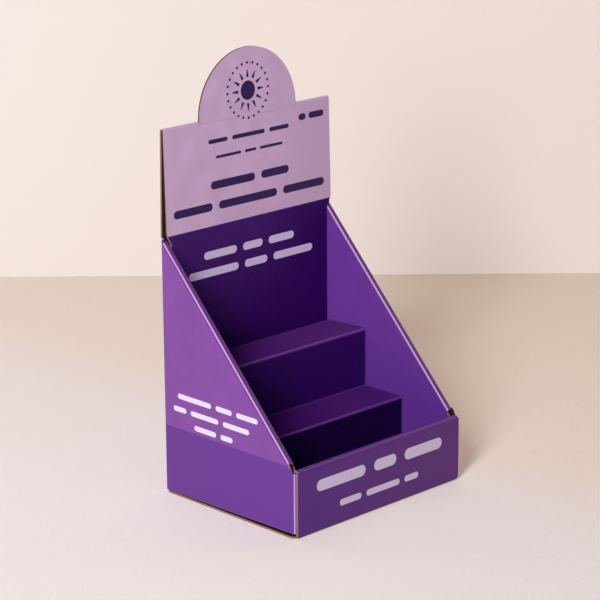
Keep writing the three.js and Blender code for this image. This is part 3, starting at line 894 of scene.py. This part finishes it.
# The prints. "right" is a colour at the right, reached between the two places across that follow it, and
# "low" one at the foot, which gives way between the two heights that follow it. On the side walls "low" is a
# two-tone print; everywhere else these are painted light and shade. "marks" is the ink of the bars and the
# sun.
# Each row of "lines" is level, left end, thickness, gap between bars and lengths.
prints = {
    "header": {
        **satin,
        "fold": 0.1,
        "ink": linear(218, 178, 212),
        # painted shade: the header darker towards the right
        "right": (linear(209, 170, 204), 0.01, 0.07),
        "marks": linear(48, 22, 84),
        "sun": {"height": 0.2755, "disc": 0.0068, "rays": 12, "rayFrom": 0.0092, "rayTo": 0.0148,
                "rayTaper": (0.0092, 0.0168, 0.0011, 0.0001),  # two radii, and the half width at each
                "beads": 24, "beadRing": 0.0194, "bead": 0.0010},
        "lines": [
            (0.2446, -0.0385, 0.0030, 0.0045, (0.018, 0.031, 0.019)),
            (0.2332, -0.0320, 0.0020, 0.0035, (0.024, 0.011, 0.022)),
            (0.2488, 0.0485, 0.0046, 0.0030, (0.007, 0.015)),
            (0.2138, -0.0375, 0.0058, 0.0060, (0.042, 0.027)),
            (0.1990, -0.0725, 0.0058, 0.0060, (0.036, 0.056, 0.041)),
        ],
    },
    "lining": {
        **matt,
        "fold": 0.12,
        # the lining's ink is a darker copy of the plain purple: painted shade inside the tray
        "ink": linear(52, 4, 93),
        "under": {"ink": linear(70, 27, 106), "up": (0.10, 0.19), "across": (0.0, 0.07)},  # painted light on the upper left
        "marks": linear(222, 200, 232),
        "lines": [
            (0.1650, -0.0455, 0.0056, 0.0060, (0.031, 0.019, 0.025)),
            (0.1523, -0.0600, 0.0056, 0.0060, (0.047, 0.022, 0.039)),
        ],
    },
    "side": {
        **satin,
        "ink": linear(137, 76, 159),
        "low": (linear(108, 55, 146), 0.0501, 0.0503),
        "marks": linear(240, 226, 246),
        "outside": (0.0802, 0.0806),  # the marks are only on the outer face
        "lines": [
            (0.0742, -0.0510, 0.0038, 0.0045, (0.034, 0.016, 0.021)),
            (0.0645, -0.0555, 0.0038, 0.0045, (0.013, 0.028, 0.026)),
            (0.0546, -0.0345, 0.0038, 0.0045, (0.022, 0.012)),
        ],
    },
    "front": {
        **satin,
        "fold": 0.10,
        "ink": linear(93, 38, 126),
        # painted warm reflected light: the front redder towards the right
        "right": (linear(97, 43, 121), -tray["frontHalfWidth"], tray["frontHalfWidth"]),
        "low": (linear(44, 18, 40), 0.0005, 0.0016),  # painted contact shadow, a dark line along the foot
        "marks": linear(226, 202, 226),
        "lines": [
            (0.0330, -0.0620, 0.0082, 0.0085, (0.047, 0.022, 0.038)),
            (0.0153, -0.0400, 0.0046, 0.0050, (0.021, 0.033, 0.014)),
        ],
    },
    # painted shade: the plain print darker towards the bottom, as on the side linings
    "plain": {**satin, "ink": linear(113, 59, 153), "low": (linear(101, 50, 145), 0.05, 0.11)},
    "spine": {**satin, "ink": linear(112, 62, 130)},
    # painted light and shade: the insert is one board, but its risers and lower tread take darker copies of
    # one purple, and the treads and upper riser turn lighter towards the right, where the light falls
    "lowerTread": {**matt, "ink": linear(54, 6, 90), "right": (linear(87, 31, 119), -0.06, 0.05)},
    "upperTread": {**matt, "ink": linear(69, 20, 102), "right": (linear(101, 44, 129), -0.06, 0.05)},
    "upperRiser": {**matt, "ink": linear(44, 3, 84), "right": (linear(53, 7, 96), -0.06, 0.05)},
    "lowerRiser": {**matt, "ink": linear(31, 2, 64)},
}


def sunEmblem(across, up, sun):
    # Sun of a disc, tapered rays and a ring of beads. Around the centre, angle = atan2(up, across)
    # is folded into one sector per ray or bead, and a ray is as wide as its place in that sector.
    up = up - sun["height"]
    angle = up.math("ARCTAN2", across)
    radius = distance(across, up)
    disc = below(radius, sun["disc"])
    swing = angle.math("PINGPONG", math.pi / sun["rays"]) * radius
    taper = ramp(radius, *sun["rayTaper"])
    ray = below(swing - taper, 0.0) * below(radius * -1.0, -sun["rayFrom"]) * below(radius, sun["rayTo"])
    swing = angle.math("PINGPONG", math.pi / sun["beads"]) * radius
    bead = below(distance(swing, radius - sun["beadRing"]), sun["bead"])
    return largest(disc, ray, bead)


def inked(place, color, finish):
    # the inks over the first one, each where a print has it
    across, depth, up = place
    if "right" in finish:
        ink, start, end = finish["right"]
        color = blend(ramp(across, start, end), color, ink)
    if "low" in finish:
        ink, start, end = finish["low"]
        color = blend(ramp(up, start, end, 1.0, 0.0), color, ink)
    if "under" in finish:  # painted light: the back lining lighter at the top left, under the header
        under = finish["under"]
        color = blend(ramp(up, *under["up"]) * ramp(across, *under["across"], 1.0, 0.0), color, under["ink"])
    if "lines" in finish:
        # on the side walls depth runs from the back to the front, so that the rows start at the rear
        marks = printedLines(depth * -1.0 if "outside" in finish else across, up, finish["lines"])
        if "outside" in finish:
            marks = marks * ramp(abs(across), *finish["outside"])
        if "sun" in finish:
            marks = largest(marks, sunEmblem(across, up, finish["sun"]))
        color = blend(marks, color, finish["marks"])
    return color


def newMaterial(name, look, *details):
    # A look is a function that draws on the material's tree and gives the inputs of its shader.
    material = bpy.data.materials.new(name)
    material.use_nodes = True
    tree = material.node_tree
    setInputs(tree.nodes["Principled BSDF"], look(tree, *details))
    return material


def bumped(height):
    # the normal of a surface roughened by a height in metres
    return outputs(height.tree, "Bump", {"Height": height, "Distance": 1.0, "Strength": 1.0})[0]


def flatSheet(tree):
    # place on the unfolded sheet, in metres
    return outputs(tree, "UVMap", uv_map="flatSheet")[0]


def printedBoard(tree, finish):
    # Printed board: clouded ink, further inks (some of them painted light and shade), paler folds that are
    # partly a painted highlight, rubbed edges, paper grain and ribs.
    place = axes(outputs(tree, "TexCoord")[3])
    sheet = flatSheet(tree)
    paper = useGroup(tree, paperSurface, {"Sheet": sheet})
    wearAndSheen = useGroup(tree, rubbedInkAndFoldSheen, {"Sheet": sheet, "Width": finish["rimWidth"], "Rims": finish["rims"],
                                      "Cracks": finish["cracks"], "Folds": finish["fold"]})
    shades = (scaled(finish["ink"], factor) for factor in finish["shades"])
    color = blend(ramp(paper["Cloud"], *finish["clouds"]), *shades)
    # paler along creases: stretched ink and a painted highlight
    color = blend(wearAndSheen["FoldPalingAndSheen"], inked(place, color, finish), finish["foldColor"])
    color = blend(ramp(paper["Fleck"], *finish["speckReach"]) * finish["specks"], color, finish["rubbed"])
    worn = largest(wearAndSheen["Rim"], wearAndSheen["Crack"])
    dull = paper["Cloud"] * finish["uneven"] + (finish["roughness"] - finish["uneven"] / 2)
    return {
        "Base Color": blend(worn, color, finish["rubbed"]),
        "Roughness": worn * finish["wornRoughness"] + dull,
        "Specular IOR Level": finish["gloss"],
        "Coat Weight": finish["coat"],
        "Coat Roughness": finish["coatRoughness"],
        "Normal": bumped(paper["Height"]),
    }


# Unprinted papers: their clouds go from dark to pale. The one for faces deep between two walls is painted
# shade, far darker than the kraft.
papers = {
    "shadedHollowKraft": {"dark": linear(42, 18, 12), "pale": linear(60, 30, 20)},
    "kraft": {"dark": linear(136, 102, 74), "pale": linear(168, 130, 98)},
}
kraftFinish = {
    "fibre": 0.000014,
    "rib": 0.00002,
    "fibreShare": 0.6,  # of the shade, the rest comes from clouds
    "clouds": (0.34, 0.66),
    "fleck": linear(50, 30, 22),
    "flecks": 0.5,
    "fleckReach": (0.64, 0.74),
    "roughness": (0.78, 0.12),  # least, and what the fibres add
    "gloss": 0.25,
}


def kraftPaper(tree, paper):
    # Bare liner: clouds of two browns, long fibres and a few dark flecks.
    sheet = flatSheet(tree)
    heights = {"Fibre": kraftFinish["fibre"], "Rib": kraftFinish["rib"]}
    skin = useGroup(tree, paperSurface, {"Sheet": sheet, **heights})
    fibres = noise(sheet, waves["longFibre"], 3, (1, 0.14, 1))
    shade = fibres * kraftFinish["fibreShare"] + skin["Cloud"] * (1 - kraftFinish["fibreShare"])
    color = blend(ramp(shade, *kraftFinish["clouds"]), paper["dark"], paper["pale"])
    flecks = ramp(skin["Fleck"], *kraftFinish["fleckReach"]) * kraftFinish["flecks"]
    least, more = kraftFinish["roughness"]
    return {
        "Base Color": blend(flecks, color, kraftFinish["fleck"]),
        "Roughness": fibres * more + least,
        "Specular IOR Level": kraftFinish["gloss"],
        "Normal": bumped(skin["Height"]),
    }


# Raw edges: the printed liner, the paper from dark to pale, a painted shade for the hollows between its
# flutes, and the share of the thickness past which the edge darkens with painted shade towards its bare
# face.
recessShade = linear(34, 14, 14)
edges = {
    "cutEdge": {"liner": linear(180, 138, 126), "dark": linear(172, 136, 112),
                "pale": linear(206, 168, 142), "flutes": linear(142, 106, 86), "clean": 0.8},
    "headerCutEdge": {"liner": linear(222, 178, 188), "dark": linear(140, 90, 70),
                      "pale": linear(196, 142, 122), "flutes": recessShade, "clean": 0.4},
    # the walls' cut edges take the kraft darkened with painted shade
    "wallCutEdge": {**papers["shadedHollowKraft"], "liner": linear(122, 84, 96), "flutes": recessShade, "clean": 0.5},
}
cut = {
    "wander": 4.0,  # how far the fluted paper drifts where the cut runs along it, in swings
    "soft": (1.3, 0.7),  # where it fades, in its own thickness
    "fray": 0.00016,  # how far the printed liner's border wanders
    "overlap": 0.00002,
    "blur": 0.0001,  # width of that border
    "bareBlur": 0.00004,
    "clouds": (0.35, 0.65),
    "shadeStrength": 0.85,
    "linerShade": 0.8,  # the liner's darker shade
    "relief": 0.0001,  # how far paper stands out from the hollows
    "tooth": 0.00002,
    "roughness": 0.85,
    "gloss": 0.2,
}


def cutEdge(tree, edge):
    # Raw edge, deep = distance from the printed face: a liner at each face and the fluted paper
    # between, at middle + swing * sin(2 pi run / pitch) where the cut crosses the flutes, and
    # wandering slowly where it runs along them. The rest is painted shade for the hollow of the flutes.
    sheet = flatSheet(tree)
    run, deep, _ = axes(sheet)
    frayed = noise(sheet, waves["frayed"], 2)
    wave = (run * (2 * math.pi / board["flutePitch"])).math("SINE")
    drift = noise(outputs(tree, "CombineXYZ", (run,))[0], waves["drift"], 1)
    drift = drift * cut["wander"] - cut["wander"] / 2
    swing = outputs(tree, "Mix", {0: attribute(tree, "cutAcross"), 2: drift, 3: wave})[0]
    offset = abs(deep - (swing * board["fluteHeight"] + halfBoard))
    paper, liner, thickness = board["flutePaper"], board["liner"], board["thickness"]
    fluted = ramp(offset * (frayed + 0.5), *scaled(cut["soft"], paper))
    border = liner + cut["overlap"]
    printed = ramp(frayed * cut["fray"] + deep, border, border + cut["blur"], 1.0, 0.0)
    bare = ramp(deep, thickness - liner - cut["bareBlur"], thickness - liner)
    shade = ramp(frayed, *cut["clouds"])
    color = blend(largest(fluted, bare), edge["flutes"], blend(shade, edge["dark"], edge["pale"]))
    # painted shade: the edge darkens towards its bare face, which looks into the hollow between layers
    color = blend(ramp(deep, thickness * edge["clean"], thickness, 0.0, cut["shadeStrength"]), color, recessShade)
    color = blend(printed, color, blend(shade, scaled(edge["liner"], cut["linerShade"]), edge["liner"]))
    height = frayed * cut["tooth"] + largest(fluted, bare, printed) * cut["relief"]
    return {
        "Base Color": color,
        "Roughness": cut["roughness"],
        "Specular IOR Level": cut["gloss"],
        "Normal": bumped(height),
    }


bareMaterials = [newMaterial(name, kraftPaper, paper) for name, paper in papers.items()]
bareMaterials += [newMaterial(name, cutEdge, edge) for name, edge in edges.items()]
trayPrints, insertPrints = (
    [newMaterial(name + "Print", printedBoard, prints[name]) for name in names]
    for names in (inks, insertInks))
trayMaterials = [*trayPrints, *bareMaterials]
# the insert's inks fill as many slots as the tray's, so that the bare ones have the same numbers
insertMaterials = [*insertPrints, *insertPrints[:len(inks) - len(insertInks)], *bareMaterials]
print("materials ready")

side, wallDepths = sidePanel()
rightWall = [side, *sideLining(wallDepths)]
traySheets = [lengthwayStrip(), crown(), *rightWall, *map(mirrored, rightWall), *lockTabs()]
trayPiece = sewn("folded_tray", traySheets, trayMaterials)
print("tray folded,", len(trayPiece.data.polygons), "faces")
insertPiece = sewn("folded_steps", [insertSheet()], insertMaterials)
print("insert folded,", len(insertPiece.data.polygons), "faces")

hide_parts("display_tray")
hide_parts("step_insert")
for piece in (trayPiece, insertPiece):
    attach(piece, "root")

studio = {
    "wallDistance": 0.546,
    "halfSpan": 4.0,
    "wallTop": 3.0,
    "warmReach": (0.03, 0.17),  # where the floor takes its painted warm shade at the right, along X + slant * Y
    "warmSlant": 0.12,
    "glowReach": (-0.6, 0.6),  # where a glow darkens from left to right, a painted falloff of the light, along X - slant * Y
    "glowSlant": 0.7,
    "roughness": 0.9,
    "gloss": 0.1,
    "grainReach": (0.70, 0.30),
    "tooth": 0.004,  # height of the grain, in metres for each share of it
    "lampTarget": (0, 0, 0.12),
    "air": (1, 0.985, 0.98),
    "ambient": 0.05,
}
# The papers. A glow has a left and a right colour, and is seen but not cast as light; the darker
# right colour is a painted falloff of the light.
floorPaper = {"color": linear(243, 243, 245), "farRight": linear(241, 235, 223), "grain": 0.07,
              "glow": (linear(150, 124, 109), linear(120, 86, 60)), "clearBehind": False}
wallPaper = {"color": linear(196, 186, 181), "grain": 0.01,
             "glow": (linear(181, 168, 162), linear(164, 147, 134)), "clearBehind": True}


def sweep(name, line, halfSpan, heading, material):
    # Floor or wall: a line in the plane of the view's heading and Z, carried sideways.
    line = np.array(line)
    forward = np.array([-math.sin(heading), math.cos(heading), 0])
    sideways = np.array([math.cos(heading), math.sin(heading), 0])
    spans = np.linspace(-halfSpan, halfSpan, 9)
    grid = (line[:, None, :1] * forward + line[:, None, 1:] * np.array([0, 0, 1.0])
            + spans[None, :, None] * sideways)
    number = np.arange(grid.shape[0] * grid.shape[1]).reshape(grid.shape[:2])
    faces = np.stack([number[:-1, :-1], number[:-1, 1:], number[1:, 1:], number[1:, :-1]], 2).reshape(-1, 4)
    mesh = bpy.data.meshes.new(name)
    mesh.from_pydata(grid.reshape(-1, 3).tolist(), [], faces.tolist())
    mesh.materials.append(material)
    mesh.shade_smooth()
    addObject(name, mesh)


def studioPaper(tree, paper):
    # Pale matt paper with a faint tooth, made paler by a glow that only the camera, gloss and glass
    # see. The glow darkens towards the right, a painted falloff of the light. The wall's is clear from
    # behind, so that it hides nothing.
    place = outputs(tree, "TexCoord")[3]
    across, depth, _ = axes(place)
    tooth = noise(place, waves["tooth"], 4)
    color = paper["color"]
    # painted shade: the floor warmer and darker towards the right
    if "farRight" in paper:
        farRight = ramp(depth * studio["warmSlant"] + across, *studio["warmReach"])
        color = blend(farRight, color, paper["farRight"])
    dull = ramp(tooth, *studio["grainReach"]) * paper["grain"]
    right = ramp(across - depth * studio["glowSlant"], *studio["glowReach"])
    rays = addNode(tree, "LightPath").outputs
    kinds = ("Is Camera Ray", "Is Glossy Ray", "Is Transmission Ray")
    inputs = {
        "Base Color": blend(dull, color, (0, 0, 0)),
        "Roughness": studio["roughness"],
        "Specular IOR Level": studio["gloss"],
        "Emission Color": blend(right, *paper["glow"]),
        "Emission Strength": largest(*(Field(tree, rays[kind]) for kind in kinds)),
        "Normal": bumped(tooth * (paper["grain"] * studio["tooth"])),
    }
    if paper["clearBehind"]:
        behind = Field(tree, addNode(tree, "NewGeometry").outputs["Backfacing"])
        seen = Field(tree, tree.nodes["Principled BSDF"].outputs[0])
        clear = outputs(tree, "BsdfTransparent")[0]
        either = outputs(tree, "MixShader", (behind, seen, clear))[0]
        setInputs(tree.nodes["Material Output"], {"Surface": either})
    return inputs


heading = math.radians(view["heading"])
reach, far = studio["halfSpan"], studio["wallDistance"]
sweep("floor", [(-reach, 0), (far, 0), (reach, 0)], reach, heading,
      newMaterial("floorPaper", studioPaper, floorPaper))
sweep("wall", [(far, 0), (far, studio["wallTop"])], reach, heading,
      newMaterial("wallPaper", studioPaper, wallPaper))

# each lamp: bearing from -X towards -Y, angle above the horizon, distance, width, height and power
lamps = {
    "key": {"bearing": 26, "rise": 28, "distance": 3.4, "width": 0.7, "height": 2.0, "watts": 104,
            "color": (0.97, 1, 1.05)},
    "front": {"bearing": 84, "rise": 28, "distance": 2.3, "width": 1.4, "height": 1.4, "watts": 2.5,
              "color": (1, 0.97, 0.98)},
}
for name, lamp in lamps.items():
    data = bpy.data.lights.new(name, "AREA")
    data.shape = "RECTANGLE"
    data.size, data.size_y = lamp["width"], lamp["height"]
    data.energy = lamp["watts"]
    data.color = lamp["color"]
    bearing, rise = math.radians(lamp["bearing"]), math.radians(lamp["rise"])
    way = Vector((-math.cos(bearing) * math.cos(rise), -math.sin(bearing) * math.cos(rise), math.sin(rise)))
    light = addObject(name, data)
    light.location = Vector(studio["lampTarget"]) + way * lamp["distance"]
    light.rotation_euler = way.to_track_quat("Z", "Y").to_euler()

world = bpy.data.worlds.new("studio")
bpy.context.scene.world = world
world.use_nodes = True
setInputs(world.node_tree.nodes["Background"], {"Color": studio["air"], "Strength": studio["ambient"]})
bpy.context.scene.view_settings.view_transform = "Standard"
print("studio ready")
